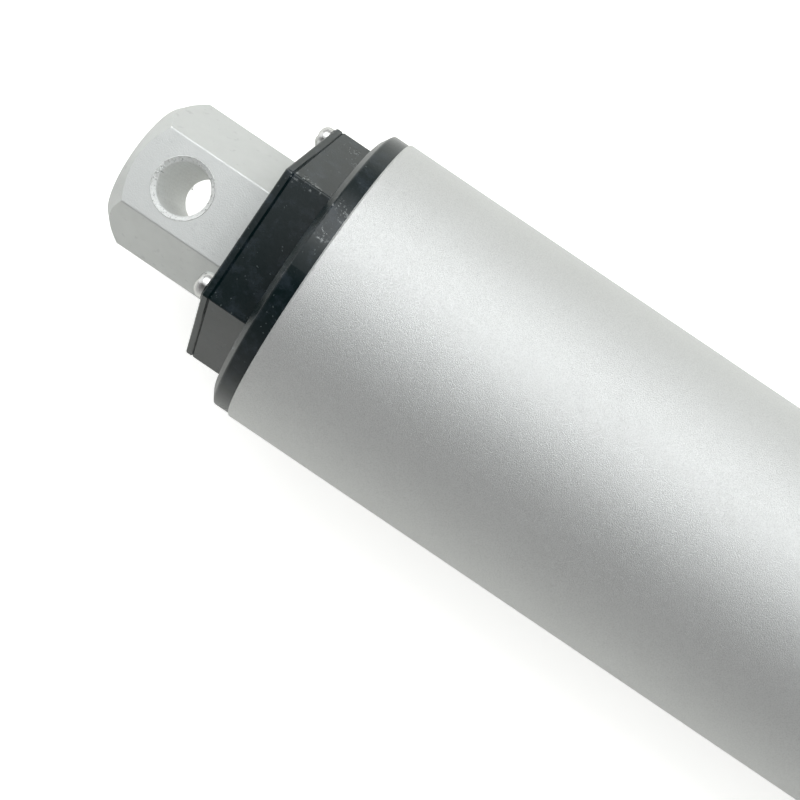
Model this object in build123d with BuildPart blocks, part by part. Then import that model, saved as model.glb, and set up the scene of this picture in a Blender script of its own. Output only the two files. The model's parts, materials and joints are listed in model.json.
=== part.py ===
from build123d import *
import os
from math import acos, cos, pi, radians, sin, sqrt, tan

# Inline electric linear actuator: a round tube with a hexagonal rod that slides out of its front
# end, and a fixed hexagonal eye at its rear end. Millimetres. +X runs along the actuator towards
# the rod, +Z along the two pin holes, and the origin is the centre of the rear pin hole.
# The rod is drawn fully retracted.

os.makedirs("parts", exist_ok=True)

# Travel
stroke = 50.0
end_room = 2.0  # left at each end of the travel, so that nothing runs metal to metal

# Hexagonal bar of the rod and the rear eye, and what is built out around it
rod_flats = 22.5
bush_wall = 2.5  # from the bar's flats out to the bush's flats
nose_wall = 4.4  # from the bush's flats out to the flats of the cap's nose
nose_step = 6.85  # from the nose's flats out to the tube's surface
tube_wall = 2.0
edge_break = 0.25  # chamfer on turned edges
slide_gap = 0.1  # between the rod's flats and the bush
fit_gap = 0.05  # on the radius, where round parts locate, turn or fit on each other
corner_round = 0.4

# Eyes
pin_hole = 8.0
hole_countersink = 0.7  # on the radius
countersink_angle = 90.0
eye_end = 9.3  # from the hole's centre to the end of the bar
eye_stand_off = 11.9  # from the hole's centre to the cover plate
end_chamfer = 3.0

# End caps, cover plates and what they clamp
plate_thick = 1.2
plate_gap = 0.2  # cover plate's opening to the bar's flats
nose_length = 6.4
flange_thick = 3.6
flange_inset = 0.3
flange_land = 2.6
flange_slope = 1.6  # on the radius
edge_bevel = 0.2  # on the outer edges of the nose and the cover plate
spigot_length = 6.0
seal_length = 3.2
seal_gap = 0.3
wiper_lip = 0.8
end_ring_length = 8.0
end_ring_gap = 1.0  # end ring to the corners of the bar
o_ring_section = 1.5
screw_inset = 2.46  # from the nose's corner in to the screw's centre
screw_shank = 2.2
screw_room = 0.1  # around the shank, in the plate and the cap
screw_head = 4.0
screw_head_height = 1.9
head_dome = 0.75  # share of the head's height that is rounded
screw_bite = 4.8  # length of a cap screw inside its end ring
cap_screw_count = 3
screw_angle = 60.0
collar_step = 3.0  # from the corners of the bar out to the collar's edge
collar_thick = 3.8
cable_hole = 5.0
cable_bore = 3.8
grommet_flange = 1.0
grommet_rim = 0.5
grommet_tail = 4.0
grommet_taper = 3.0
grommet_depth = 6.0

# Motor
motor_gap = 2.0  # motor and gear case to the tube's bore
board_room = 2.0
board_thick = 1.6
post_radius = 2.0
post_length = 2.0
post_inset = 4.0
post_count = 3
bell_thick = 3.0
bell_spigot = 3.0
can_room = 4.0  # end turns to the end of the can
can_wall = 1.5
magnet_count = 2
magnet_turn = 90.0  # from +Y to the middle of the first magnet
magnet_thick = 4.5
magnet_angle = 130.0
magnet_length = 38.0
air_gap = 0.5
core_length = 32.0
slot_count = 7
slot_radius = 2.8
slot_inset = 4.6
slot_mouth = 1.6
end_turns = 4.0
end_turn_swell = 0.4
end_turn_round = 1.3
commutator_step = 0.7  # commutator's surface to the bore of the end turns
commutator_room = 2.0
commutator_length = 7.0
segment_gap = 0.5
segment_depth = 0.75
brush_gap = 0.3
brush_length = 7.0
brush_width = 4.0
brush_box_wall = 1.0
spring_length = 2.4
spring_leaf = 0.4
brush_hollow = 1.0
motor_shaft = 5.0
bushing_od = 9.0
bushing_length = 5.0
terminal_thick = 0.5
terminal_width = 3.0
terminal_tail = 1.5
cushion_length = 4.0

# Two planetary stages in one toothed case
sun_teeth = 12
planet_teeth = 15
ring_teeth = sun_teeth + 2 * planet_teeth
planet_count = 3
addendum = 0.8  # in modules
dedendum = 1.0  # in modules
pressure_angle = 20.0
backlash = 0.08
case_wall = 4.5
input_plate_thick = 3.5
gear_face = 7.0
gear_side_gap = 0.6
carrier_thick = 3.0
output_carrier_thick = 4.0
carrier_gap = 1.0
planet_pin = 3.9
carrier_window = 5.8
hub_radius = 7.0
hub_length = 5.8
drive_flats = 6.0
case_screw = 2.5
case_screw_head = 4.5
case_screw_head_height = 2.0
case_screw_room = 0.1
case_screw_count = 3
motor_screw_circle = 9.0
motor_screw_head = 4.5
motor_head_depth = 1.2  # the cone runs a little way into the shank
motor_screw_count = 2

# Lead screw, nut and bearing
screw_diameter = 12.0
thread_gap = 0.1
nut_length = 22.0
nut_flange = 5.0
rod_wall = 2.25
bore_room = 0.75
blind_room = 4.0
bearing_bore = 10.0
bearing_od = 26.0
bearing_width = 8.0
race_thick = 2.4
ball_diameter = 4.76
ball_count = 7
ball_gap = 0.05
cage_thick = 1.4
cage_inset = 0.6
cage_gap = 0.1
hub_gap = 0.2  # output hub to the lock nut
housing_lip = 2.0
circlip_thick = 1.2
circlip_depth = 1.0
circlip_opening = 8.0
snap_ring_thick = 1.2
snap_ring_depth = 0.8
snap_ring_bite = 1.4
snap_ring_room = 2.0  # each side of the strip's slot
lock_nut_thick = 2.6
shoulder_step = 0.8
shoulder_length = 2.4

# Guide piston, and the sensor strip that it runs over
piston_length = 10.0
piston_gap = 0.2
piston_step = 0.25
vent_hole = 5.0
vent_count = 5
strip_width = 8.0
strip_thick = 0.8
strip_gap = 0.5  # around the strip, wherever it passes through another part
strip_lift = 0.05
sensor_length = 4.0
sensor_width = 3.0
sensor_height = 1.2
sensor_gap = 0.6
magnet_diameter = 4.0
piston_magnet_height = 3.0

# Radii that follow
bush_flats = rod_flats + 2 * bush_wall
nose_flats = bush_flats + 2 * nose_wall
tube_radius = nose_flats / 2 + nose_step
bore_radius = tube_radius - tube_wall
located_radius = bore_radius - fit_gap
across_corners = 1 / cos(radians(30))
nose_corner = nose_flats / 2 * across_corners
rod_corner = rod_flats / 2 * across_corners
flange_radius = tube_radius - flange_inset
collar_radius = rod_corner + collar_step
end_ring_bore = rod_corner + end_ring_gap
screw_hole_radius = screw_shank / 2 + screw_room
screw_circle = nose_corner - screw_inset
screw_length = plate_thick + nose_length + flange_thick + spigot_length + screw_bite
motor_radius = bore_radius - motor_gap
can_bore = motor_radius - can_wall
magnet_bore = can_bore - magnet_thick
core_radius = magnet_bore - air_gap
slot_circle = core_radius - slot_inset
windings_inner = slot_circle - slot_radius - end_turn_swell
windings_outer = slot_circle + slot_radius + end_turn_swell
commutator_radius = windings_inner - commutator_step
shaft_radius = motor_shaft / 2
module = (motor_radius - case_wall) / (ring_teeth / 2 + dedendum)
sun_pitch = module * sun_teeth / 2
planet_pitch = module * planet_teeth / 2
ring_pitch = module * ring_teeth / 2
planet_orbit = sun_pitch + planet_pitch
carrier_radius = ring_pitch - module * addendum - carrier_gap
pin_radius = planet_pin / 2
case_screw_circle = motor_radius - case_wall / 2
screw_radius = screw_diameter / 2
nut_radius = rod_flats / 2 - rod_wall
rod_tail_radius = rod_flats / 2 - piston_step
piston_radius = bore_radius - piston_gap
cable_orbit = (nose_flats + rod_flats) / 4
cable_angle = -30.0
strip_bottom = strip_lift - sqrt(bore_radius**2 - (strip_width / 2) ** 2)
strip_top = strip_bottom + strip_thick
sensor_top = strip_top + sensor_height
strip_half = strip_width / 2
strip_slot = strip_half + strip_gap
strip_slot_top = strip_top + strip_gap
piston_notch_top = sensor_top + sensor_gap

# Stations along the axis, rear to front
end_reach = eye_stand_off + plate_thick + nose_length + flange_thick
rear_edge = end_reach
rear_ring_start = rear_edge + spigot_length
rear_ring_end = rear_ring_start + end_ring_length
board_start = rear_ring_end + board_room
board_end = board_start + board_thick
bell_start = board_end + post_length
can_start = bell_start + bell_thick
commutator_start = can_start + bell_spigot + commutator_room
core_start = commutator_start + commutator_length + end_turns
core_end = core_start + core_length
can_end = core_end + end_turns + can_room
case_start = can_end + input_plate_thick
first_gear_start = case_start + gear_side_gap
first_gear_end = first_gear_start + gear_face
first_carrier_start = first_gear_end + gear_side_gap
first_carrier_end = first_carrier_start + carrier_thick
second_gear_start = first_carrier_end + gear_side_gap
second_gear_end = second_gear_start + gear_face
output_start = second_gear_end + gear_side_gap
output_end = output_start + output_carrier_thick
housing_start = output_end + gear_side_gap
hub_end = output_end + hub_length
bearing_start = hub_end + hub_gap + lock_nut_thick
bearing_end = bearing_start + bearing_width
housing_end = bearing_end + housing_lip
nut_start = housing_end + end_room
nut_end = nut_start + nut_length
rod_start = nut_start + nut_flange
piston_end = rod_start + piston_length
front_ring_start = piston_end + stroke + end_room
front_ring_end = front_ring_start + end_ring_length
front_edge = front_ring_end + spigot_length
rod_eye = front_edge + end_reach
screw_end = nut_end + stroke + end_room
brush_start = commutator_start + (commutator_length - brush_width) / 2
brush_tip = commutator_radius + brush_gap
brush_end = brush_tip + brush_length
spring_end = brush_end + spring_length


# A round disc or ring about the axis, added to or cut from the piece being made
def ring(start, end, outer, inner=0.0, mode=Mode.ADD):
    with BuildSketch(Plane.YZ.offset(start)) as section:
        Circle(outer)
        if inner > 0:
            Circle(inner, mode=Mode.SUBTRACT)
    extrude(section.sketch, amount=end - start, mode=mode)


# A hexagonal length of the axis, with corners towards +Y and -Y
def hexagon(start, end, flats, rounding=0.0, mode=Mode.ADD):
    with BuildSketch(Plane.YZ.offset(start)) as section:
        RegularPolygon(flats / 2, 6, major_radius=False)
        if rounding > 0:
            fillet(section.vertices(), rounding)
    extrude(section.sketch, amount=end - start, mode=mode)


# Round pegs or holes along the axis, spaced on a circle
def pegs(start, end, radius, circle, count, first_angle=0.0, mode=Mode.ADD):
    with BuildSketch(Plane.YZ.offset(start)) as section:
        with PolarLocations(circle, count, start_angle=first_angle):
            Circle(radius)
    extrude(section.sketch, amount=end - start, mode=mode)


# The same, cut
def holes(start, end, radius, circle, count, first_angle=0.0):
    pegs(start, end, radius, circle, count, first_angle, mode=Mode.SUBTRACT)


# A block along the axis between two limits across Y and two across Z
def block(start, end, y_low, y_high, z_low, z_high, mode=Mode.ADD):
    with BuildSketch(Plane.YZ.offset(start)) as section:
        with Locations(((y_low + y_high) / 2, (z_low + z_high) / 2)):
            Rectangle(y_high - y_low, z_high - z_low)
    extrude(section.sketch, amount=end - start, mode=mode)


# A solid turned about the axis from points given as station and radius
def turned(*points, mode=Mode.ADD):
    with BuildSketch(Plane.XZ) as section:
        with BuildLine():
            Polyline(*points, close=True)
        make_face()
    revolve(section.sketch, axis=Axis.X, mode=mode)


# The channel that the sensor strip runs through
def strip_channel(start, end, top):
    block(start, end, -strip_slot, strip_slot, -tube_radius, top, mode=Mode.SUBTRACT)


def save(piece, name):
    piece.part.label = name
    export_step(piece.part, f"parts/{name}.step")


# Tube: a broken edge at each mouth, and a snap ring groove each side of the bearing housing
snap_ring_stations = (housing_start - snap_ring_thick, housing_end)
with BuildPart() as outer_tube:
    ring(rear_edge, front_edge, tube_radius, bore_radius)
    chamfer(outer_tube.edges().filter_by(GeomType.CIRCLE), edge_break)
    for station in snap_ring_stations:
        groove_end = station + snap_ring_thick
        groove_radius = bore_radius + snap_ring_depth
        ring(station, groove_end, groove_radius, bore_radius, mode=Mode.SUBTRACT)
save(outer_tube, "outer_tube")


# Moulded end cap, for the tube edge at `edge` with `out` pointing away from the tube: a spigot with
# a seal groove, a flange that bears on the tube's edge, and a hexagonal nose with its opening
def end_cap(edge, out, opening_flats):
    spigot_end = edge - out * spigot_length
    groove_radius = located_radius - o_ring_section
    groove_inner = edge - out * (spigot_length + o_ring_section) / 2
    groove_outer = edge - out * (spigot_length - o_ring_section) / 2
    land_end = edge + out * flange_land
    nose_start = edge + out * flange_thick
    nose_end = nose_start + out * nose_length
    low = min(spigot_end, nose_end)
    high = max(spigot_end, nose_end)
    with BuildPart() as cap:
        turned(
            (spigot_end, 0),
            (spigot_end, located_radius),
            (groove_inner, located_radius),
            (groove_inner, groove_radius),
            (groove_outer, groove_radius),
            (groove_outer, located_radius),
            (edge, located_radius),
            (edge, flange_radius),
            (land_end, flange_radius),
            (nose_start, flange_radius - flange_slope),
            (nose_start, 0),
        )
        rims = cap.edges().filter_by(GeomType.CIRCLE).sort_by(Axis((0, 0, 0), (out, 0, 0)))
        fillet(rims[-2:], corner_round)
        hexagon(min(nose_start, nose_end), max(nose_start, nose_end), nose_flats, corner_round)
        nose_face = cap.faces().sort_by(Axis((0, 0, 0), (out, 0, 0)))[-1]
        chamfer(nose_face.edges(), edge_bevel)
        hexagon(low, high, opening_flats, mode=Mode.SUBTRACT)
        holes(low, high, screw_hole_radius, screw_circle, cap_screw_count, screw_angle)
    return cap


front_nose_face = front_edge + flange_thick + nose_length
rear_nose_face = rear_edge - flange_thick - nose_length
front_cap = end_cap(front_edge, 1, bush_flats)
save(front_cap, "front_cap")

rear_cap_blank = end_cap(rear_edge, -1, rod_flats)
with BuildPart() as rear_cap:
    add(rear_cap_blank.part)
    holes(rear_nose_face, rear_ring_start, cable_hole / 2, cable_orbit, 1, cable_angle)
save(rear_cap, "rear_cap")


# Thin hexagonal plate over the nose, from its lower station to its higher one
def cover_plate(start, with_cable_hole):
    end = start + plate_thick
    with BuildPart() as plate:
        hexagon(start, end, nose_flats, corner_round)
        chamfer(plate.faces().filter_by(Axis.X).edges(), edge_bevel)
        hexagon(start, end, rod_flats + 2 * plate_gap, mode=Mode.SUBTRACT)
        holes(start, end, screw_hole_radius, screw_circle, cap_screw_count, screw_angle)
        if with_cable_hole:
            holes(start, end, cable_hole / 2, cable_orbit, 1, cable_angle)
    return plate


save(cover_plate(front_nose_face, False), "front_cover_plate")
save(cover_plate(rear_nose_face - plate_thick, True), "rear_cover_plate")


# Three pan head screws through the plate and the cap into the end ring
def cap_screws(plate_face, out):
    face = Plane(origin=(plate_face, 0, 0), x_dir=(0, 1, 0), z_dir=(out, 0, 0))
    with BuildPart() as screws:
        with BuildSketch(face):
            with PolarLocations(screw_circle, cap_screw_count, start_angle=screw_angle):
                Circle(screw_head / 2)
        extrude(amount=screw_head_height)
        tops = screws.faces().sort_by(Axis((0, 0, 0), (out, 0, 0)))[-cap_screw_count:]
        fillet(tops.edges(), screw_head_height * head_dome)
        with BuildSketch(face):
            with PolarLocations(screw_circle, cap_screw_count, start_angle=screw_angle):
                Circle(screw_shank / 2)
        extrude(amount=-screw_length)
    return screws


save(cap_screws(front_nose_face + plate_thick, 1), "front_screws")
save(cap_screws(rear_nose_face - plate_thick, -1), "rear_screws")


# Rubber ring in the groove of a cap's spigot
def o_ring(centre):
    section_radius = o_ring_section / 2
    section_centre = located_radius - section_radius
    with BuildPart() as seal:
        with BuildSketch(Plane.XZ):
            with Locations((centre, section_centre)):
                Circle(section_radius)
        revolve(axis=Axis.X)
    return seal


save(o_ring(front_edge - spigot_length / 2), "front_o_ring")
save(o_ring(rear_edge + spigot_length / 2), "rear_o_ring")

# Threaded ring that the front screws pull against; it also stops the bush from behind
with BuildPart() as front_end_ring:
    ring(front_ring_start, front_ring_end, located_radius, end_ring_bore)
    holes(front_ring_start, front_ring_end, screw_shank / 2, screw_circle, cap_screw_count, screw_angle)
save(front_end_ring, "front_end_ring")

# The same ring at the rear, with a seat for the eye's collar and a way through for the cable
seat_end = rear_ring_start + collar_thick
with BuildPart() as rear_end_ring:
    ring(rear_ring_start, rear_ring_end, located_radius)
    ring(rear_ring_start, seat_end, collar_radius + fit_gap, mode=Mode.SUBTRACT)
    holes(rear_ring_start, rear_ring_end, screw_shank / 2, screw_circle, cap_screw_count, screw_angle)
    holes(seat_end, rear_ring_end, cable_hole / 2, cable_orbit, 1, cable_angle)
save(rear_end_ring, "rear_end_ring")

# Hexagonal guide bush and the wiper seal in front of it, both held in the front cap
bush_end = front_nose_face - seal_length
with BuildPart() as guide_bush:
    hexagon(front_ring_end, bush_end, bush_flats)
    hexagon(front_ring_end, bush_end, rod_flats + 2 * slide_gap, mode=Mode.SUBTRACT)
save(guide_bush, "guide_bush")

with BuildPart() as wiper_seal:
    hexagon(bush_end, front_nose_face, bush_flats)
    hexagon(bush_end, front_nose_face, rod_flats + 2 * seal_gap, mode=Mode.SUBTRACT)
    inner_edges = wiper_seal.faces().sort_by(Axis.X)[-1].inner_wires()[0].edges()
    chamfer(inner_edges, wiper_lip)
save(wiper_seal, "wiper_seal")


# End of a hexagonal bar: a turned chamfer, then the pin hole across the flats, countersunk
def finish_eye(hole_x, out):
    tip = hole_x + out * eye_end
    turned(
        (tip, rod_corner - end_chamfer),
        (tip - out * end_chamfer, rod_corner),
        (tip - out * end_chamfer, rod_corner + end_chamfer),
        (tip, rod_corner + end_chamfer),
        mode=Mode.SUBTRACT,
    )
    for side in (1, -1):
        flat = Plane(
            origin=(hole_x, 0, side * rod_flats / 2), x_dir=(1, 0, 0), z_dir=(0, 0, side)
        )
        with Locations(flat):
            CounterSinkHole(
                pin_hole / 2,
                pin_hole / 2 + hole_countersink,
                rod_flats / 2,
                counter_sink_angle=countersink_angle,
            )


# Rear eye: a hexagonal bar with a round collar trapped between the cap and the end ring, notched
# for the cable
with BuildPart() as rear_eye:
    hexagon(-eye_end, rear_ring_start, rod_flats, corner_round)
    finish_eye(0, -1)
    ring(rear_ring_start, seat_end, collar_radius)
    holes(rear_ring_start, seat_end, cable_hole / 2, cable_orbit, 1, cable_angle)
save(rear_eye, "rear_eye")

# Rubber grommet for the cable: a tapered tail outside, a rim on the plate, a sleeve in the cap
plate_face = rear_nose_face - plate_thick
cable_y = cable_orbit * cos(radians(cable_angle))
cable_z = cable_orbit * sin(radians(cable_angle))
cable_plane = Plane(origin=(plate_face, cable_y, cable_z), x_dir=(0, 1, 0), z_dir=(-1, 0, 0))
with BuildPart() as cable_grommet:
    with BuildSketch(cable_plane):
        Circle(cable_hole / 2)
    extrude(amount=-grommet_depth)
    with BuildSketch(cable_plane):
        Circle(cable_hole / 2 + grommet_rim)
    extrude(amount=grommet_flange)
    with BuildSketch(cable_plane.offset(grommet_flange)):
        Circle(cable_hole / 2)
    extrude(amount=grommet_tail, taper=grommet_taper)
    with BuildSketch(cable_plane.offset(grommet_flange + grommet_tail)):
        Circle(cable_bore / 2)
    extrude(amount=-(grommet_flange + grommet_tail + grommet_depth), mode=Mode.SUBTRACT)
save(cable_grommet, "cable_grommet")

# Push rod: hexagonal bar, bored from the rear for the nut and the screw, turned down at its tail
# for the piston
with BuildPart() as push_rod:
    hexagon(piston_end, rod_eye + eye_end, rod_flats, corner_round)
    ring(rod_start, piston_end, rod_tail_radius)
    finish_eye(rod_eye, 1)
    ring(rod_start, nut_end, nut_radius, mode=Mode.SUBTRACT)
    ring(nut_end, screw_end + blind_room, screw_radius + bore_room, mode=Mode.SUBTRACT)
save(push_rod, "push_rod")

# Drive nut: its flange clamps the piston against the rod's shoulder
with BuildPart() as drive_nut:
    ring(nut_start, rod_start, rod_corner)
    ring(rod_start, nut_end, nut_radius)
    ring(nut_start, nut_end, screw_radius + thread_gap, mode=Mode.SUBTRACT)
    chamfer(drive_nut.faces().sort_by(Axis.X)[0].edges(), edge_break)
save(drive_nut, "drive_nut")

# Guide piston: runs in the tube, with a notch over the sensor strip and vent holes
magnet_radius = magnet_diameter / 2
magnet_x = rod_start + piston_length / 2
magnet_plane = Plane(origin=(magnet_x, 0, piston_notch_top), x_dir=(1, 0, 0), z_dir=(0, 0, 1))
with BuildPart() as guide_piston:
    ring(rod_start, piston_end, piston_radius, rod_tail_radius)
    strip_channel(rod_start, piston_end, piston_notch_top)
    vent_circle = (rod_tail_radius + piston_radius) / 2
    holes(rod_start, piston_end, vent_hole / 2, vent_circle, vent_count, 90)
    with BuildSketch(magnet_plane):
        Circle(magnet_radius)
    extrude(amount=piston_magnet_height, mode=Mode.SUBTRACT)
save(guide_piston, "guide_piston")

with BuildPart() as piston_magnet:
    with BuildSketch(magnet_plane):
        Circle(magnet_radius)
    extrude(amount=piston_magnet_height)
save(piston_magnet, "piston_magnet")

# Sensor strip along the bottom of the bore, with a sensor under each end of the magnet's travel
with BuildPart() as sensor_strip:
    block(board_start, front_ring_start, -strip_half, strip_half, strip_bottom, strip_top)
save(sensor_strip, "sensor_strip")

with BuildPart() as limit_sensors:
    for sensor_x in (magnet_x - sensor_length / 2, magnet_x + stroke - sensor_length / 2):
        sensor_end = sensor_x + sensor_length
        block(sensor_x, sensor_end, -sensor_width / 2, sensor_width / 2, strip_top, sensor_top)
save(limit_sensors, "limit_sensors")

# Round board behind the motor, standing on the motor's posts and reaching down to the strip, with
# a hole for each motor terminal
post_circle = motor_radius - post_inset
blade_low = spring_end + brush_box_wall
blade_high = blade_low + terminal_thick
blade_half = terminal_width / 2


# The two motor terminals, added to or cut from the piece being made
def blades(start, end, mode=Mode.ADD):
    for low, high in ((blade_low, blade_high), (-blade_high, -blade_low)):
        block(start, end, low, high, -blade_half, blade_half, mode=mode)


with BuildPart() as terminal_board:
    ring(board_start, board_end, motor_radius)
    block(board_start, board_end, -strip_half, strip_half, strip_top, -post_circle)
    blades(board_start, board_end, mode=Mode.SUBTRACT)
save(terminal_board, "terminal_board")

# Motor end bell: posts for the board, a seat for the rear bushing, and a box for each brush
brush_half = brush_width / 2
box_half = brush_half + brush_box_wall
box_end = brush_start + brush_width + brush_box_wall
box_low = brush_tip + brush_hollow
spigot_end = can_start + bell_spigot
bushing_radius = bushing_od / 2
with BuildPart() as end_bell:
    ring(bell_start, can_start, motor_radius)
    ring(can_start, spigot_end, can_bore - fit_gap)
    pegs(board_end, bell_start, post_radius, post_circle, post_count, 90)
    for low, high in ((box_low, blade_low), (-blade_low, -box_low)):
        block(can_start, box_end, low, high, -box_half, box_half)
    brush_slot = (brush_start, brush_start + brush_width, -spring_end, spring_end)
    block(*brush_slot, -brush_half, brush_half, mode=Mode.SUBTRACT)
    ring(bell_start, spigot_end, bushing_radius, mode=Mode.SUBTRACT)
    blades(bell_start, spigot_end, mode=Mode.SUBTRACT)
save(end_bell, "end_bell")

with BuildPart() as motor_terminals:
    blades(board_start - terminal_tail, box_end)
save(motor_terminals, "motor_terminals")

# Carbon brushes, hollowed to the commutator
with BuildPart() as brushes:
    for low, high in ((brush_tip - brush_hollow, brush_end), (-brush_end, brush_hollow - brush_tip)):
        block(brush_start, brush_start + brush_width, low, high, -brush_half, brush_half)
    ring(brush_start, brush_start + brush_width, brush_tip, mode=Mode.SUBTRACT)
save(brushes, "brushes")

# Bowed leaf spring behind each brush
with BuildPart() as brush_springs:
    with BuildSketch(Plane.XY.offset(-brush_half)):
        with BuildLine():
            start = brush_start
            middle = brush_start + brush_width / 2
            end = brush_start + brush_width
            pressed = ThreePointArc(
                (start, spring_end - spring_leaf), (middle, brush_end), (end, spring_end - spring_leaf)
            )
            backed = ThreePointArc(
                (start, spring_end), (middle, brush_end + spring_leaf), (end, spring_end)
            )
            Line(pressed @ 0, backed @ 0)
            Line(pressed @ 1, backed @ 1)
        make_face()
    extrude(amount=brush_width)
    mirror(about=Plane.XZ)
save(brush_springs, "brush_springs")

# Motor can: a drawn steel cup, open to the bell, with a seat for the front bushing and two tapped
# holes in its closed end
bushing_start = can_end - bushing_length
case_screw_radius = case_screw / 2
with BuildPart() as motor_can:
    ring(can_start, can_end, motor_radius)
    ring(can_start, can_end - can_wall, can_bore, mode=Mode.SUBTRACT)
    ring(bushing_start, can_end, bushing_radius + can_wall)
    ring(bushing_start, can_end, bushing_radius, mode=Mode.SUBTRACT)
    holes(can_end - can_wall, can_end, case_screw_radius, motor_screw_circle, motor_screw_count)
save(motor_can, "motor_can")

# Sintered bushings that the rotor turns in
with BuildPart() as motor_bushings:
    for start in (bell_start, bushing_start):
        ring(start, start + bushing_length, bushing_radius, shaft_radius + fit_gap)
save(motor_bushings, "motor_bushings")

# Two arc magnets on the wall of the can
magnet_start = (core_start + core_end - magnet_length) / 2
with BuildPart() as motor_magnets:
    for number in range(magnet_count):
        first = magnet_turn + number * 360 / magnet_count - magnet_angle / 2
        with BuildSketch(Plane.YZ.offset(magnet_start)):
            with BuildLine():
                back = CenterArc((0, 0), can_bore, first, magnet_angle)
                face = CenterArc((0, 0), magnet_bore, first, magnet_angle)
                Line(back @ 0, face @ 0)
                Line(back @ 1, face @ 1)
            make_face()
        extrude(amount=magnet_length)
save(motor_magnets, "motor_magnets")

# Rubber band that steadies the motor in the tube, open where the strip passes
cushion_end = spigot_end + cushion_length
with BuildPart() as motor_cushion:
    ring(spigot_end, cushion_end, located_radius, motor_radius)
    strip_channel(spigot_end, cushion_end, strip_slot_top)
save(motor_cushion, "motor_cushion")

# Rotor: shaft, slotted core, windings and commutator
with BuildPart() as rotor_shaft:
    ring(bell_start, first_gear_end, shaft_radius)
    chamfer(rotor_shaft.edges().filter_by(GeomType.CIRCLE), edge_break)
save(rotor_shaft, "rotor_shaft")

mouth_depth = core_radius - slot_circle
with BuildPart() as rotor_core:
    with BuildSketch(Plane.YZ.offset(core_start)):
        Circle(core_radius)
        Circle(shaft_radius, mode=Mode.SUBTRACT)
        with PolarLocations(slot_circle, slot_count):
            Circle(slot_radius, mode=Mode.SUBTRACT)
        with PolarLocations(slot_circle + mouth_depth, slot_count):
            Rectangle(2 * mouth_depth, slot_mouth, mode=Mode.SUBTRACT)
    extrude(amount=core_length)
save(rotor_core, "rotor_core")

with BuildPart() as rotor_windings:
    for start in (core_start - end_turns, core_end):
        ring(start, start + end_turns, windings_outer, windings_inner)
    rims = rotor_windings.edges().filter_by(GeomType.CIRCLE).sort_by(SortBy.RADIUS)[-4:]
    rims = rims.sort_by(Axis.X)
    fillet([rims[0], rims[-1]], end_turn_round)
    pegs(core_start, core_end, slot_radius, slot_circle, slot_count)
save(rotor_windings, "rotor_windings")

with BuildPart() as commutator:
    with BuildSketch(Plane.YZ.offset(commutator_start)):
        Circle(commutator_radius)
        Circle(shaft_radius, mode=Mode.SUBTRACT)
        with PolarLocations(commutator_radius, slot_count):
            Rectangle(2 * segment_depth, segment_gap, mode=Mode.SUBTRACT)
    extrude(amount=commutator_length)
save(commutator, "commutator")


# Half of a tooth's angle at one radius: an involute above its base circle, radial below it
def half_tooth(teeth, radius, thicker):
    pitch_radius = module * teeth / 2
    base_radius = pitch_radius * cos(radians(pressure_angle))
    at_pitch = (pi * module / 2 + thicker) / (2 * pitch_radius)
    pitch_involute = tan(radians(pressure_angle)) - radians(pressure_angle)
    roll = acos(min(1, base_radius / max(radius, base_radius)))
    return at_pitch + pitch_involute - (tan(roll) - roll)


# Outline of a gear whose first tooth points along first_angle. A toothed bore is the outline of
# the gear that would fill it, made thicker by the backlash instead of thinner.
def gear_outline(teeth, root, tip, thicker, first_angle=0.0):
    radii = (root, module * teeth / 2, tip)
    points = []
    for tooth in range(teeth):
        middle = radians(first_angle) + 2 * pi * tooth / teeth
        rising = [(radius, middle - half_tooth(teeth, radius, thicker)) for radius in radii]
        falling = [(radius, middle + half_tooth(teeth, radius, thicker)) for radius in radii]
        for radius, angle in rising + falling[::-1]:
            points.append((radius * cos(angle), radius * sin(angle)))
    return points


# A straight gear with a round bore, turning about the axis or about its own centre beside it
def spur_gear(start, length, teeth, bore, centre=(0, 0), first_angle=0.0):
    pitch_radius = module * teeth / 2
    outline = gear_outline(
        teeth,
        pitch_radius - module * dedendum,
        pitch_radius + module * addendum,
        -backlash,
        first_angle,
    )
    axis = Plane(origin=(start, centre[0], centre[1]), x_dir=(0, 1, 0), z_dir=(1, 0, 0))
    with BuildPart() as gear:
        with BuildSketch(axis):
            with BuildLine():
                Polyline(*outline, close=True)
            make_face()
            if bore > 0:
                Circle(bore, mode=Mode.SUBTRACT)
        extrude(amount=length)
    return gear


save(spur_gear(first_gear_start, gear_face, sun_teeth, shaft_radius), "first_sun_gear")

# Toothed case around both stages, clamped between the motor's plate and the bearing housing
case_hole = case_screw_radius + case_screw_room
bore_outline = gear_outline(
    ring_teeth, ring_pitch - module * addendum, ring_pitch + module * dedendum, backlash
)
with BuildPart() as gear_case:
    ring(case_start, housing_start, motor_radius)
    with BuildSketch(Plane.YZ.offset(case_start)) as toothed_bore:
        with BuildLine():
            Polyline(*bore_outline, close=True)
        make_face()
    extrude(amount=housing_start - case_start, mode=Mode.SUBTRACT)
    holes(case_start, housing_start, case_hole, case_screw_circle, case_screw_count, screw_angle)
save(gear_case, "gear_case")

# Plate between motor and gears
with BuildPart() as input_plate:
    ring(can_end, case_start, motor_radius, bushing_radius)
    holes(can_end, case_start, case_screw_radius, case_screw_circle, case_screw_count, screw_angle)
    with Locations(Plane(origin=(case_start, 0, 0), x_dir=(0, 1, 0), z_dir=(1, 0, 0))):
        with PolarLocations(motor_screw_circle, motor_screw_count):
            CounterSinkHole(
                case_screw_radius, motor_screw_head / 2, counter_sink_angle=countersink_angle
            )
save(input_plate, "input_plate")

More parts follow.
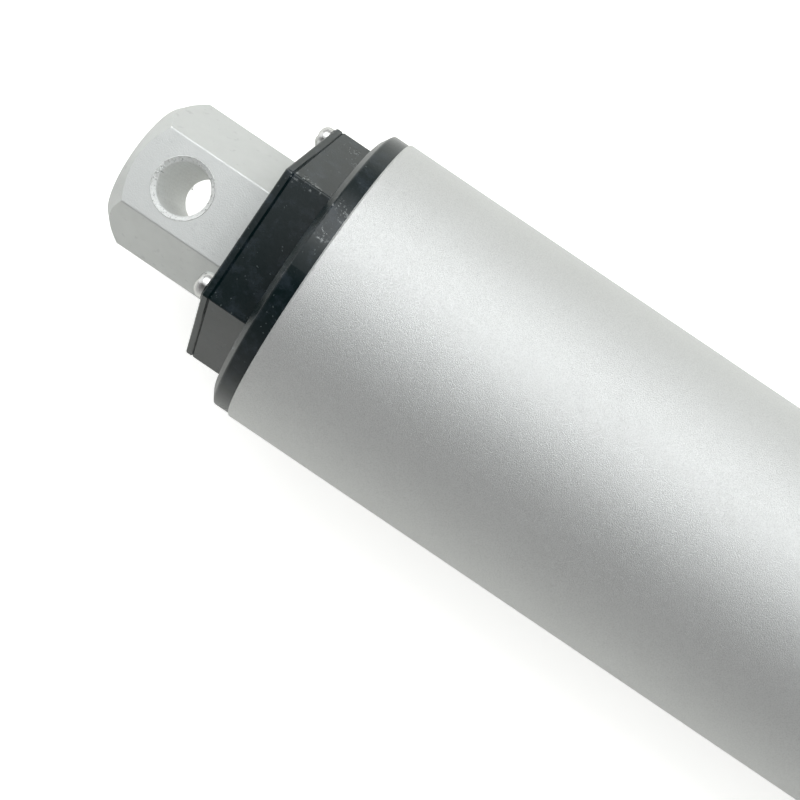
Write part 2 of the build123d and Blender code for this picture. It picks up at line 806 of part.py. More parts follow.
# Two countersunk screws that hold the motor to its plate
with BuildPart() as motor_screws:
    shank_start = can_end - can_wall
    pegs(shank_start, case_start, case_screw_radius, motor_screw_circle, motor_screw_count)
    with BuildSketch(Plane.YZ.offset(case_start)):
        with PolarLocations(motor_screw_circle, motor_screw_count):
            Circle(motor_screw_head / 2)
    extrude(amount=-motor_head_depth, taper=countersink_angle / 2)
save(motor_screws, "motor_screws")

# Planet gears: each turns on a pin in its stage's carrier, with a tooth pointing away from the axis
planet_step = 360 / planet_count
planet_bore = pin_radius + fit_gap
for stage, start in (("first", first_gear_start), ("second", second_gear_start)):
    for number in range(planet_count):
        angle = planet_step * number
        centre = (planet_orbit * cos(radians(angle)), planet_orbit * sin(radians(angle)))
        planet = spur_gear(start, gear_face, planet_teeth, planet_bore, centre, angle)
        save(planet, f"{stage}_planet_gear_{number + 1}")


# Carrier disc with holes for its pins, and openings between them
def carrier_disc(start, thickness):
    end = start + thickness
    ring(start, end, carrier_radius)
    holes(start, end, pin_radius, planet_orbit, planet_count)
    holes(start, end, carrier_window / 2, planet_orbit, planet_count, planet_step / 2)


sun_spigot = sun_pitch - module * dedendum
with BuildPart() as first_carrier:
    carrier_disc(first_carrier_start, carrier_thick)
    ring(first_carrier_start, first_carrier_end, sun_spigot, mode=Mode.SUBTRACT)
save(first_carrier, "first_carrier")

with BuildPart() as first_planet_pins:
    pegs(first_gear_start, first_carrier_end, pin_radius, planet_orbit, planet_count)
save(first_planet_pins, "first_planet_pins")

# Sun of the second stage, pressed into the first carrier
second_sun_blank = spur_gear(first_carrier_end, second_gear_end - first_carrier_end, sun_teeth, 0)
with BuildPart() as second_sun_gear:
    add(second_sun_blank.part)
    ring(first_carrier_start, first_carrier_end, sun_spigot)
save(second_sun_gear, "second_sun_gear")

# Output carrier, with a hub whose hexagonal socket drives the screw
with BuildPart() as output_carrier:
    carrier_disc(output_start, output_carrier_thick)
    ring(output_end, hub_end, hub_radius)
    hexagon(output_start, hub_end, drive_flats, mode=Mode.SUBTRACT)
save(output_carrier, "output_carrier")

with BuildPart() as second_planet_pins:
    pegs(second_gear_start, output_end, pin_radius, planet_orbit, planet_count)
save(second_planet_pins, "second_planet_pins")

# Bearing housing: clears the hub at the back, seats the bearing at the front, and has holes for
# the three long screws that clamp the gear case and the motor's plate to it
head_start = housing_end - case_screw_head_height
hub_bore = hub_radius + carrier_gap
with BuildPart() as bearing_housing:
    ring(housing_start, housing_end, located_radius, bearing_od / 2)
    ring(housing_start, bearing_start, located_radius, hub_bore)
    circlip_end = bearing_end + circlip_thick
    circlip_radius = bearing_od / 2 + circlip_depth
    ring(bearing_end, circlip_end, circlip_radius, mode=Mode.SUBTRACT)
    holes(housing_start, housing_end, case_hole, case_screw_circle, case_screw_count, screw_angle)
    head_hole = case_screw_head / 2 + case_screw_room
    holes(head_start, housing_end, head_hole, case_screw_circle, case_screw_count, screw_angle)
    strip_channel(housing_start, housing_end, strip_slot_top)
save(bearing_housing, "bearing_housing")

with BuildPart() as case_screws:
    pegs(can_end, head_start, case_screw_radius, case_screw_circle, case_screw_count, screw_angle)
    pegs(head_start, housing_end, case_screw_head / 2, case_screw_circle, case_screw_count, screw_angle)
save(case_screws, "case_screws")


# A spring ring, open over a gap that faces down
def open_ring(start, thickness, outer, inner, gap):
    end = start + thickness
    ring(start, end, outer, inner)
    block(start, end, -gap / 2, gap / 2, -2 * outer, 0, mode=Mode.SUBTRACT)


# Snap rings in the tube's grooves, one each side of the bearing housing
snap_ring_gap = 2 * (strip_slot + snap_ring_room)
with BuildPart() as snap_rings:
    for station in snap_ring_stations:
        open_ring(
            station,
            snap_ring_thick,
            bore_radius + snap_ring_depth,
            bore_radius - snap_ring_bite,
            snap_ring_gap,
        )
save(snap_rings, "snap_rings")

with BuildPart() as bearing_circlip:
    circlip_bore = bearing_od / 2 - race_thick / 2
    open_ring(bearing_end, circlip_thick, circlip_radius, circlip_bore, circlip_opening)
save(bearing_circlip, "bearing_circlip")

# Ball bearing: each race has a groove a little larger than the balls
bearing_middle = (bearing_start + bearing_end) / 2
ball_circle = (bearing_bore + bearing_od) / 4
ball_radius = ball_diameter / 2


# The races' groove, cut from the piece being made
def ball_groove():
    with BuildSketch(Plane.XZ) as section:
        with Locations((bearing_middle, ball_circle)):
            Circle(ball_radius + ball_gap)
    revolve(section.sketch, axis=Axis.X, mode=Mode.SUBTRACT)


with BuildPart() as inner_race:
    ring(bearing_start, bearing_end, bearing_bore / 2 + race_thick, bearing_bore / 2)
    ball_groove()
save(inner_race, "inner_race")

with BuildPart() as outer_race:
    ring(bearing_start, bearing_end, bearing_od / 2, bearing_od / 2 - race_thick)
    ball_groove()
save(outer_race, "outer_race")

ball_step = 360 / ball_count
with BuildPart() as bearing_balls:
    for number in range(ball_count):
        angle = radians(ball_step * number)
        with Locations((bearing_middle, ball_circle * cos(angle), ball_circle * sin(angle))):
            Sphere(ball_radius)
save(bearing_balls, "bearing_balls")

# Cage: a band between the races with a round pocket for each ball
with BuildPart() as ball_cage:
    cage_outer = ball_circle + cage_thick / 2
    cage_inner = ball_circle - cage_thick / 2
    ring(bearing_start + cage_inset, bearing_end - cage_inset, cage_outer, cage_inner)
    for number in range(ball_count):
        outwards = Vector(0, 1, 0).rotate(Axis.X, ball_step * number)
        with BuildSketch(Plane(origin=(bearing_middle, 0, 0), x_dir=(1, 0, 0), z_dir=outwards)):
            Circle(ball_radius + cage_gap)
        extrude(amount=bearing_od / 2, mode=Mode.SUBTRACT)
save(ball_cage, "ball_cage")

# Lead screw: hexagonal drive, seat for the lock nut, journal, shoulder, and the threaded length,
# which is drawn as a plain round bar
seat_radius = bearing_bore / 2 - shoulder_step
with BuildPart() as lead_screw:
    hexagon(output_end, hub_end, drive_flats)
    ring(hub_end, bearing_start, seat_radius)
    ring(bearing_start, bearing_end, bearing_bore / 2)
    ring(bearing_end, bearing_end + shoulder_length, max(screw_radius, bearing_bore / 2) + shoulder_step)
    ring(bearing_end + shoulder_length, screw_end, screw_radius)
    chamfer(lead_screw.faces().sort_by(Axis.X)[-1].edges(), shoulder_step)
save(lead_screw, "lead_screw")

with BuildPart() as lock_nut:
    with BuildSketch(Plane.YZ.offset(bearing_start - lock_nut_thick)):
        RegularPolygon(hub_radius, 6)
        Circle(seat_radius, mode=Mode.SUBTRACT)
    extrude(amount=lock_nut_thick)
save(lock_nut, "lock_nut")
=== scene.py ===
import json
import math

import bmesh
import bpy
from mathutils import Matrix, Vector

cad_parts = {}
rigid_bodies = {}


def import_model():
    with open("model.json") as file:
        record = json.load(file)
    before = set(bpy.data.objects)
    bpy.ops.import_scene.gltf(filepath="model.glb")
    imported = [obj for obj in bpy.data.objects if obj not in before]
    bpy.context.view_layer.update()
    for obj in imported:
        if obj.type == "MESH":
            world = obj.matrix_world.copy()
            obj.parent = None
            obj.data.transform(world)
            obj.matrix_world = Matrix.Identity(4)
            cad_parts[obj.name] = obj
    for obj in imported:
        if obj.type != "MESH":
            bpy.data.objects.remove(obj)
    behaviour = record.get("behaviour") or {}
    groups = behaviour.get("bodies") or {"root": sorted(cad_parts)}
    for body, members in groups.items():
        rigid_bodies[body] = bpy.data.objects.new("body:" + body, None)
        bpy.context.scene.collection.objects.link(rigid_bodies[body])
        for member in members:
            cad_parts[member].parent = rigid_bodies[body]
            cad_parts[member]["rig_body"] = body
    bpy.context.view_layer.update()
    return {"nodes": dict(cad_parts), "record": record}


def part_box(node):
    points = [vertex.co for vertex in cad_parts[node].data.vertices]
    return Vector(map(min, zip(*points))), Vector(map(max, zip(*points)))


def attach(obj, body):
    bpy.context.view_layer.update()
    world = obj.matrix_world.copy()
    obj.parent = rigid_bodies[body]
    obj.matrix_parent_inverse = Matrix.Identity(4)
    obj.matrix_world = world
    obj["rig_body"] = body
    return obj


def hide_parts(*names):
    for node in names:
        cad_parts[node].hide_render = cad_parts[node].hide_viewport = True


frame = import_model()
nodes = frame["nodes"]
slotOf = {part["node"]: part["material_slot"] for part in frame["record"]["subparts"]}
bodyOf = {node: obj["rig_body"] for node, obj in nodes.items()}
print("frame loaded:", len(nodes), "nodes")

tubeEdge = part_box("outer_tube")[1]
tubeFront = tubeEdge.x  # the tube's edge at the rod's end
floorZ = -tubeEdge.z  # the tube lies on the floor


# camera: straight down on the front end, with the rod pointing to the upper left
camera = {
    "turn": -145.9,  # degrees about Z
    "behindEdge": 0.0129,  # rearward of the tube's front edge
    "aside": -0.0027,  # off the axis, along Y
    "height": 0.1635,  # above the axis
    "lensPixels": 1056,  # focal length for an image 800 pixels wide
    "imageWidth": 800,
    "sensor": 36.0,
    "principal": (399.9, 312.8),  # pixel where the lens points
    "clip": (0.005, 20),
}


def makeCamera():
    data = bpy.data.cameras.new("camera")
    eye = bpy.data.objects.new("camera", data)
    bpy.context.scene.collection.objects.link(eye)
    width = camera["imageWidth"]
    data.sensor_width = camera["sensor"]
    data.lens = camera["lensPixels"] / width * camera["sensor"]
    data.shift_x = (width / 2 - camera["principal"][0]) / width
    data.shift_y = (camera["principal"][1] - width / 2) / width
    data.clip_start, data.clip_end = camera["clip"]
    eye.location = (tubeFront - camera["behindEdge"], camera["aside"], camera["height"])
    eye.rotation_euler = (0, 0, math.radians(camera["turn"]))
    bpy.context.scene.camera = eye


makeCamera()
print("camera placed")


# a maths node, fed with numbers and with what other nodes give
def calculate(tree, operation, *values):
    node = tree.nodes.new("ShaderNodeMath")
    node.operation = operation
    for side, value in enumerate(values):
        if isinstance(value, (int, float)):
            node.inputs[side].default_value = value
        else:
            tree.links.new(value, node.inputs[side])
    return node.outputs[0]


# a value taken from one range to another, clamped
def mapRange(tree, value, low, high, toLow, toHigh):
    node = tree.nodes.new("ShaderNodeMapRange")
    node.inputs["From Min"].default_value = low
    node.inputs["From Max"].default_value = high
    node.inputs["To Min"].default_value = toLow
    node.inputs["To Max"].default_value = toHigh
    tree.links.new(value, node.inputs["Value"])
    return node.outputs["Result"]


# light: a dim room, two long soft boxes one inside the other on the -Y side, a fill from in front
# of the rod, and a white floor
studio = {
    "zenith": 0.07,
    "horizon": 0.66,
    "lamps": {  # size along X and across it, distance, lean towards +Y and +X in degrees, watts
        "keyBox": ((1.6, 0.44), 0.8, (-34.5, 0), 4.5),
        "wideBox": ((1.6, 0.98), 0.8, (-31.5, 0), 5.1),
        "frontFill": ((0.9, 0.6), 1.0, (-10, 72), 1.3),
    },
    "lampColour": (0.975, 0.995, 1.0),
    "floorSize": 6.0,
    "floorColour": (0.93, 0.93, 0.89),
    "floorGlow": 0.62,  # what the camera sees on top of the lit floor
    "farGlow": 1.0,  # and where the lamps no longer reach
    "farFrom": (0.5, 1.6),  # from the middle of the floor, where the one gives way to the other
    "floorSheen": 0.05,  # what metal and glass see on top of it
}


def makeWorld():
    world = bpy.data.worlds.new("studio")
    bpy.context.scene.world = world
    world.use_nodes = True
    tree = world.node_tree
    tree.nodes.clear()
    room = tree.nodes.new("ShaderNodeBackground")
    white = tree.nodes.new("ShaderNodeBackground")
    for background in (room, white):
        background.inputs["Color"].default_value = (1, 1, 1, 1)
    place = tree.nodes.new("ShaderNodeTexCoord")
    split = tree.nodes.new("ShaderNodeSeparateXYZ")
    path = tree.nodes.new("ShaderNodeLightPath")
    mix = tree.nodes.new("ShaderNodeMixShader")
    out = tree.nodes.new("ShaderNodeOutputWorld")
    tree.links.new(place.outputs["Generated"], split.inputs[0])
    dim = mapRange(tree, split.outputs["Z"], 0, 1, studio["horizon"], studio["zenith"])
    tree.links.new(dim, room.inputs["Strength"])
    tree.links.new(path.outputs["Is Camera Ray"], mix.inputs["Fac"])
    tree.links.new(room.outputs[0], mix.inputs[1])
    tree.links.new(white.outputs[0], mix.inputs[2])
    tree.links.new(mix.outputs[0], out.inputs["Surface"])


def makeSoftBox(name, size, distance, lean, watts):
    data = bpy.data.lights.new(name, "AREA")
    data.shape = "RECTANGLE"
    data.size, data.size_y = size
    data.energy = watts
    data.color = studio["lampColour"]
    lamp = bpy.data.objects.new(name, data)
    bpy.context.scene.collection.objects.link(lamp)
    sideways = Matrix.Rotation(-math.radians(lean[0]), 4, "X")
    forwards = Matrix.Rotation(math.radians(lean[1]), 4, "Y")
    middle = Matrix.Translation((tubeFront / 2, 0, 0))
    lamp.matrix_world = middle @ forwards @ sideways @ Matrix.Translation((0, 0, distance))


def makeFloor():
    mesh = bpy.data.meshes.new("floor")
    half = studio["floorSize"] / 2
    corners = [(x * half, y * half, floorZ) for x, y in ((-1, -1), (1, -1), (1, 1), (-1, 1))]
    mesh.from_pydata(corners, [], [(0, 1, 2, 3)])
    floor = bpy.data.objects.new("floor", mesh)
    bpy.context.scene.collection.objects.link(floor)
    mesh.materials.append(paperMaterial())


# matt paper that glows for the camera, more so far away, and a little for metal and glass
def paperMaterial():
    paper = bpy.data.materials.new("floor_paper")
    paper.use_nodes = True
    tree = paper.node_tree
    tree.nodes.clear()
    matt = tree.nodes.new("ShaderNodeBsdfDiffuse")
    matt.inputs["Color"].default_value = (*studio["floorColour"], 1)
    glow = tree.nodes.new("ShaderNodeEmission")
    place = tree.nodes.new("ShaderNodeTexCoord")
    away = tree.nodes.new("ShaderNodeVectorMath")
    away.operation = "LENGTH"
    tree.links.new(place.outputs["Object"], away.inputs[0])
    near, far = studio["farFrom"]
    level = mapRange(tree, away.outputs["Value"], near, far, studio["floorGlow"], studio["farGlow"])
    ray = tree.nodes.new("ShaderNodeLightPath").outputs
    seen = calculate(tree, "MULTIPLY", ray["Is Camera Ray"], level)
    mirrored = calculate(tree, "MAXIMUM", ray["Is Glossy Ray"], ray["Is Transmission Ray"])
    strength = calculate(tree, "MULTIPLY_ADD", mirrored, studio["floorSheen"], seen)
    tree.links.new(strength, glow.inputs["Strength"])
    add = tree.nodes.new("ShaderNodeAddShader")
    out = tree.nodes.new("ShaderNodeOutputMaterial")
    tree.links.new(matt.outputs[0], add.inputs[0])
    tree.links.new(glow.outputs[0], add.inputs[1])
    tree.links.new(add.outputs[0], out.inputs["Surface"])
    return paper


makeWorld()
for lampName, settings in studio["lamps"].items():
    makeSoftBox(lampName, *settings)
makeFloor()
bpy.context.scene.view_settings.view_transform = "Standard"
print("studio lit")


# a finish in the making: its steps add nodes to the one material, in object space
class Finish:
    def __init__(self, name, colour, metallic=0.0, specular=0.5):
        self.material = bpy.data.materials.new(name)
        self.material.use_nodes = True
        self.tree = self.material.node_tree
        self.shader = self.tree.nodes["Principled BSDF"]
        self.colour = colour
        self.shader.inputs["Base Color"].default_value = (*colour, 1)
        self.shader.inputs["Metallic"].default_value = metallic
        self.shader.inputs["Specular IOR Level"].default_value = specular
        self.place = self.tree.nodes.new("ShaderNodeTexCoord").outputs["Object"]
        self.normal = None

    def link(self, source, target):
        self.tree.links.new(source, target)

    # noise with features of about `size` metres, drawn out where `stretch` is under 1
    def noise(self, size, detail=2.0, stretch=(1, 1, 1), rough=0.5):
        mapping = self.tree.nodes.new("ShaderNodeMapping")
        mapping.inputs["Scale"].default_value = stretch
        self.link(self.place, mapping.inputs["Vector"])
        node = self.tree.nodes.new("ShaderNodeTexNoise")
        node.inputs["Scale"].default_value = 1 / size
        node.inputs["Detail"].default_value = detail
        node.inputs["Roughness"].default_value = rough
        self.link(mapping.outputs["Vector"], node.inputs["Vector"])
        return node.outputs["Fac"]

    def ramp(self, value, low, high, toLow, toHigh):
        return mapRange(self.tree, value, low, high, toLow, toHigh)

    def multiply(self, first, second):
        return calculate(self.tree, "MULTIPLY", first, second)

    # even stripes across X, `pitch` metres from one to the next, from -1 to 1
    def stripes(self, pitch):
        split = self.tree.nodes.new("ShaderNodeSeparateXYZ")
        self.link(self.place, split.inputs[0])
        turn = self.multiply(split.outputs["X"], 2 * math.pi / pitch)
        return calculate(self.tree, "SINE", turn)

    # 1 within `reach` of any of the spots, fading to 0 at twice that
    def spots(self, places, reach):
        total = None
        for spot in places:
            away = self.tree.nodes.new("ShaderNodeVectorMath")
            away.operation = "DISTANCE"
            self.link(self.place, away.inputs[0])
            away.inputs[1].default_value = spot
            near = self.ramp(away.outputs["Value"], reach, 2 * reach, 1, 0)
            total = calculate(self.tree, "MAXIMUM", total, near) if total else near
        return total

    # distance from a line through `point`, measured with the coordinates that `keep` leaves on
    def distance(self, point, keep):
        flat = self.tree.nodes.new("ShaderNodeVectorMath")
        flat.operation = "MULTIPLY"
        self.link(self.place, flat.inputs[0])
        flat.inputs[1].default_value = keep
        away = self.tree.nodes.new("ShaderNodeVectorMath")
        away.operation = "DISTANCE"
        self.link(flat.outputs["Vector"], away.inputs[0])
        away.inputs[1].default_value = point
        return away.outputs["Value"]

    # base colour goes from what it is so far to `other` as `share` goes from 0 to 1
    def tint(self, share, other):
        node = self.tree.nodes.new("ShaderNodeMix")
        node.data_type = "RGBA"
        node.inputs["A"].default_value = (*self.colour, 1)
        node.inputs["B"].default_value = (*other, 1)
        current = self.shader.inputs["Base Color"].links
        if current:
            self.link(current[0].from_socket, node.inputs["A"])
        self.link(share, node.inputs["Factor"])
        self.link(node.outputs["Result"], self.shader.inputs["Base Color"])

    # roughness goes over `span` as a noise goes from `low` to `high`, the bulk of its values
    def roughen(self, value, span, low=0.3, high=0.7):
        self.link(self.ramp(value, low, high, *span), self.shader.inputs["Roughness"])

    # bump of `depth` metres, on top of what is there already
    def bump(self, height, depth):
        node = self.tree.nodes.new("ShaderNodeBump")
        node.inputs["Strength"].default_value = 1.0
        node.inputs["Distance"].default_value = depth
        self.link(height, node.inputs["Height"])
        if self.normal:
            self.link(self.normal, node.inputs["Normal"])
        self.normal = node.outputs["Normal"]
        self.link(self.normal, self.shader.inputs["Normal"])


# in all finishes a plain length is the size of a noise's features, and a share says how much of
# a colour shows: as the noise goes from the first level to the second, from the third to the last

# tube: bead blasted, then clear anodised
tubeFinish = {
    "colour": (0.655, 0.663, 0.657),
    "roughness": (0.53, 0.61),
    "patch": 0.0003,
    "grain": 0.00010,
    "grainDepth": 0.00007,
    "sparkle": 0.00016,
    "sparkleColour": (0.50, 0.507, 0.503),
    "sparkleShare": (0.45, 0.65, 0, 0.5),
    "cloud": 0.03,
    "cloudColour": (0.635, 0.642, 0.636),
    "cloudShare": (0.4, 0.7, 0, 1),
}


def tubeMaterial():
    f = Finish("anodised_tube", tubeFinish["colour"], metallic=1.0)
    f.roughen(f.noise(tubeFinish["patch"]), tubeFinish["roughness"])
    cloud = f.noise(tubeFinish["cloud"])
    f.tint(f.ramp(cloud, *tubeFinish["cloudShare"]), tubeFinish["cloudColour"])
    sparkle = f.noise(tubeFinish["sparkle"], detail=1)
    f.tint(f.ramp(sparkle, *tubeFinish["sparkleShare"]), tubeFinish["sparkleColour"])
    f.bump(f.noise(tubeFinish["grain"], detail=1.5), tubeFinish["grainDepth"])
    return f.material


# bar: drawn hexagon, blasted lightly and anodised, with a few nicks
barFinish = {
    "colour": (0.67, 0.683, 0.674),
    "roughness": (0.58, 0.66),
    "patch": 0.002,
    "nick": 0.0012,
    "nickColour": (0.56, 0.57, 0.57),
    "nickShare": (0.62, 0.75, 0, 0.7),
    "grain": 0.00018,
    "grainDepth": 0.000027,
    "drawn": 0.0004,
    "drawnStretch": (0.03, 1, 1),
    "drawnDepth": 0.000004,
    "holes": (0.0, 0.2533),  # stations of the two pin holes
    "cutRing": (0.0040, 0.0047),  # the countersink, from the hole's edge outwards
    "cutFade": (0.0001, 0.00005),  # over which it starts and ends
    "cutFrom": 0.0105,  # height above the axis at which its dirty rim starts
    "cutMetal": (0.97, 0.98, 0.97),
    "cutShare": (0.35, 0.5, 0.6, 1),
    "cutDirt": (0.30, 0.31, 0.30),
    "dirtShare": (0.55, 0.68, 0, 0.9),
    "chatter": 0.0004,
    "chatterDepth": 0.00025,
}


def barMaterial():
    f = Finish("bar_alloy", barFinish["colour"], metallic=1.0)
    f.roughen(f.noise(barFinish["patch"]), barFinish["roughness"])
    nick = f.noise(barFinish["nick"], detail=4)
    f.tint(f.ramp(nick, *barFinish["nickShare"]), barFinish["nickColour"])
    f.bump(f.noise(barFinish["grain"], detail=1.5), barFinish["grainDepth"])
    f.bump(f.noise(barFinish["drawn"], stretch=barFinish["drawnStretch"]), barFinish["drawnDepth"])
    inner, outer = barFinish["cutRing"]
    fadeIn, fadeOut = barFinish["cutFade"]
    chatter = f.noise(barFinish["chatter"], detail=4, rough=0.7)
    bright = f.ramp(chatter, *barFinish["cutShare"])
    dirty = f.ramp(chatter, *barFinish["dirtShare"])
    height = f.distance((0, 0, 0), (0, 0, 1))
    high = f.ramp(height, barFinish["cutFrom"] - fadeIn, barFinish["cutFrom"], 0, 1)
    for station in barFinish["holes"]:
        away = f.distance((station, 0, 0), (1, 1, 0))
        outside = f.ramp(away, inner - fadeIn, inner, 0, 1)
        inside = f.ramp(away, outer, outer + fadeOut, 1, 0)
        ring = f.multiply(outside, inside)
        rim = f.multiply(ring, high)
        f.tint(f.multiply(ring, bright), barFinish["cutMetal"])
        f.tint(f.multiply(rim, dirty), barFinish["cutDirt"])
        f.bump(f.multiply(rim, chatter), barFinish["chatterDepth"])
    return f.material


# black moulded caps and plates, with the dull scuffs of handling
capFinish = {
    "colour": (0.001, 0.007, 0.008),
    "roughness": (0.20, 0.28),
    "specular": 0.42,
    "cloud": 0.006,
    "scuff": 0.0011,
    "scuffColour": (0.10, 0.11, 0.11),
    "scuffShare": (0.66, 0.74, 0, 1),
    "scuffClouds": (0.45, 0.65, 0, 0.5),  # how much of them each cloud has
    "haze": 0.0022,  # where hands have dulled it
    "hazeColour": (0.014, 0.022, 0.028),
    "hazeShare": (0.48, 0.66, 0, 0.9),
    "dust": 0.00045,
    "dustColour": (0.10, 0.12, 0.12),
    "dustShare": (0.72, 0.77, 0, 0.6),
    "skin": 0.0006,
    "skinDepth": 0.000006,
    "rubbed": [  # places that handling has scuffed, front cap
        (0.2400, -0.0105, 0.0181),
        (0.2382, -0.0106, 0.0181),
        (0.2366, -0.0107, 0.0180),
        (0.2306, -0.0092, 0.0229),
        (0.2314, -0.0056, 0.0240),
        (0.2324, -0.0100, 0.0222),
        (0.2367, -0.0190, 0.0034),
        (0.2345, -0.0170, 0.0068),
        (0.2330, 0.0136, 0.0190),
        (0.2312, -0.0236, 0.0060),
    ],
    "rubReach": 0.0007,
    "scratch": 0.0005,
    "scratchColour": (0.34, 0.36, 0.36),
    "scratchShare": (0.56, 0.66, 0, 0.9),
}


def capMaterial():
    f = Finish("black_moulding", capFinish["colour"], specular=capFinish["specular"])
    cloud = f.noise(capFinish["cloud"], detail=5)
    f.roughen(cloud, capFinish["roughness"], low=0.35)
    scuff = f.ramp(f.noise(capFinish["scuff"], detail=6, rough=0.65), *capFinish["scuffShare"])
    clouds = f.ramp(cloud, *capFinish["scuffClouds"])
    f.tint(f.multiply(scuff, clouds), capFinish["scuffColour"])
    haze = f.noise(capFinish["haze"], detail=7, rough=0.62)
    f.tint(f.ramp(haze, *capFinish["hazeShare"]), capFinish["hazeColour"])
    dust = f.noise(capFinish["dust"], detail=1)
    f.tint(f.ramp(dust, *capFinish["dustShare"]), capFinish["dustColour"])
    scratch = f.ramp(f.noise(capFinish["scratch"], detail=5, rough=0.7), *capFinish["scratchShare"])
    rubbed = f.spots(capFinish["rubbed"], capFinish["rubReach"])
    f.tint(f.multiply(rubbed, scratch), capFinish["scratchColour"])
    f.bump(f.noise(capFinish["skin"], detail=3), capFinish["skinDepth"])
    return f.material


# turned and ground metal: fine lines round the axis, worn darker in places
machinedFinish = {
    "wear": 0.004,
    "wearShare": (0.5, 0.75, 0, 0.6),
    "worn": 0.8,  # of its own colour
    "rough": (0.8, 1.25),  # least and most, of the roughness given
    "lines": 0.0003,
    "linesStretch": (1, 0.12, 0.12),
}


def machinedMaterial(name, colour, roughness, depth=0.000004):
    f = Finish(name, colour, metallic=1.0)
    wear = f.noise(machinedFinish["wear"], detail=4)
    f.roughen(wear, [roughness * share for share in machinedFinish["rough"]])
    worn = [machinedFinish["worn"] * channel for channel in colour]
    f.tint(f.ramp(wear, *machinedFinish["wearShare"]), worn)
    f.bump(f.noise(machinedFinish["lines"], stretch=machinedFinish["linesStretch"]), depth)
    return f.material


# plastic, rubber and pressed powder: an even grain, a little paler in places
mouldedFinish = {
    "patch": 0.005,
    "patchShare": (0.45, 0.75, 0, 0.5),
    "paler": (1.25, 0.01),  # times its own colour, and added to that
    "rough": (0.85, 1.15),  # least and most, of the roughness given
    "grainDepth": 0.000006,
}


def mouldedMaterial(name, colour, roughness, grain=0.0005):
    f = Finish(name, colour)
    patch = f.noise(mouldedFinish["patch"], detail=3)
    f.roughen(patch, [roughness * share for share in mouldedFinish["rough"]])
    times, added = mouldedFinish["paler"]
    paler = [min(1, times * channel + added) for channel in colour]
    f.tint(f.ramp(patch, *mouldedFinish["patchShare"]), paler)
    f.bump(f.noise(grain, detail=3), mouldedFinish["grainDepth"])
    return f.material


# stacked laminations, each with its own dark edge
coreFinish = {
    "colour": (0.30, 0.30, 0.31),
    "roughness": (0.38, 0.55),
    "patch": 0.002,
    "lamination": 0.0005,
    "gap": (0.07, 0.07, 0.075),
    "gapShare": (-1, -0.6, 1, 0),
    "gapShape": (-1, -0.5, 0, 1),
    "gapDepth": 0.00004,
}


def coreMaterial():
    f = Finish("core_steel", coreFinish["colour"], metallic=1.0)
    f.roughen(f.noise(coreFinish["patch"], detail=4), coreFinish["roughness"])
    stack = f.stripes(coreFinish["lamination"])
    f.tint(f.ramp(stack, *coreFinish["gapShare"]), coreFinish["gap"])
    f.bump(f.ramp(stack, *coreFinish["gapShape"]), coreFinish["gapDepth"])
    return f.material


# circuit board: green mask over glass cloth, with the gaps between its copper areas showing through
boardFinish = {
    "mask": (0.020, 0.135, 0.055),
    "roughness": (0.24, 0.34),
    "patch": 0.004,
    "gap": (0.010, 0.062, 0.028),
    "area": 0.0042,  # usual size of a copper area
    "gapWidth": 0.09,  # as a share of that
    "gapDepth": 0.00003,
    "weave": 0.00025,
    "weaveDepth": 0.000006,
}


def boardMaterial():
    f = Finish("board", boardFinish["mask"])
    f.roughen(f.noise(boardFinish["patch"]), boardFinish["roughness"])
    distances = []
    for feature in ("F2", "F1"):
        areas = f.tree.nodes.new("ShaderNodeTexVoronoi")
        areas.distance = "CHEBYCHEV"
        areas.feature = feature
        areas.inputs["Scale"].default_value = 1 / boardFinish["area"]
        f.link(f.place, areas.inputs["Vector"])
        distances.append(areas.outputs["Distance"])
    fromEdge = calculate(f.tree, "SUBTRACT", *distances)
    gapWidth = boardFinish["gapWidth"]
    copper = f.ramp(fromEdge, gapWidth / 2, gapWidth, 0, 1)
    f.tint(f.ramp(copper, 0, 1, 1, 0), boardFinish["gap"])
    f.bump(copper, boardFinish["gapDepth"])
    f.bump(f.noise(boardFinish["weave"]), boardFinish["weaveDepth"])
    return f.material


materials = {
    "anodised_tube": tubeMaterial(),
    "bar_alloy": barMaterial(),
    "black_moulding": capMaterial(),
    "bush_plastic": mouldedMaterial("bush_plastic", (0.80, 0.78, 0.72), 0.38),
    "board": boardMaterial(),
    "sensor_case": mouldedMaterial("sensor_case", (0.02, 0.02, 0.02), 0.5),
    "seal_rubber": mouldedMaterial("seal_rubber", (0.018, 0.018, 0.018), 0.62, grain=0.0004),
    "screw_steel": machinedMaterial("screw_steel", (0.66, 0.66, 0.65), 0.26),
    "gear_steel": machinedMaterial("gear_steel", (0.46, 0.46, 0.47), 0.32),
    "bearing_steel": machinedMaterial("bearing_steel", (0.72, 0.72, 0.73), 0.12, depth=0.000001),
    "case_steel": machinedMaterial("case_steel", (0.50, 0.50, 0.51), 0.36),
    "core_steel": coreMaterial(),
    "magnet": mouldedMaterial("magnet", (0.08, 0.08, 0.085), 0.55, grain=0.0003),
    "copper": machinedMaterial("copper", (0.72, 0.30, 0.16), 0.3),
    "commutator_copper": machinedMaterial("commutator_copper", (0.80, 0.42, 0.26), 0.22),
    "bronze": machinedMaterial("bronze", (0.62, 0.45, 0.20), 0.34),
    "carbon": mouldedMaterial("carbon", (0.05, 0.05, 0.055), 0.6, grain=0.0002),
    "ring_alloy": machinedMaterial("ring_alloy", (0.70, 0.71, 0.72), 0.34),
    "cage_plastic": mouldedMaterial("cage_plastic", (0.16, 0.11, 0.06), 0.45),
}
for name, obj in nodes.items():
    obj.data.materials.clear()
    obj.data.materials.append(materials[slotOf[name]])
print("CAD nodes finished:", len(materials), "materials")


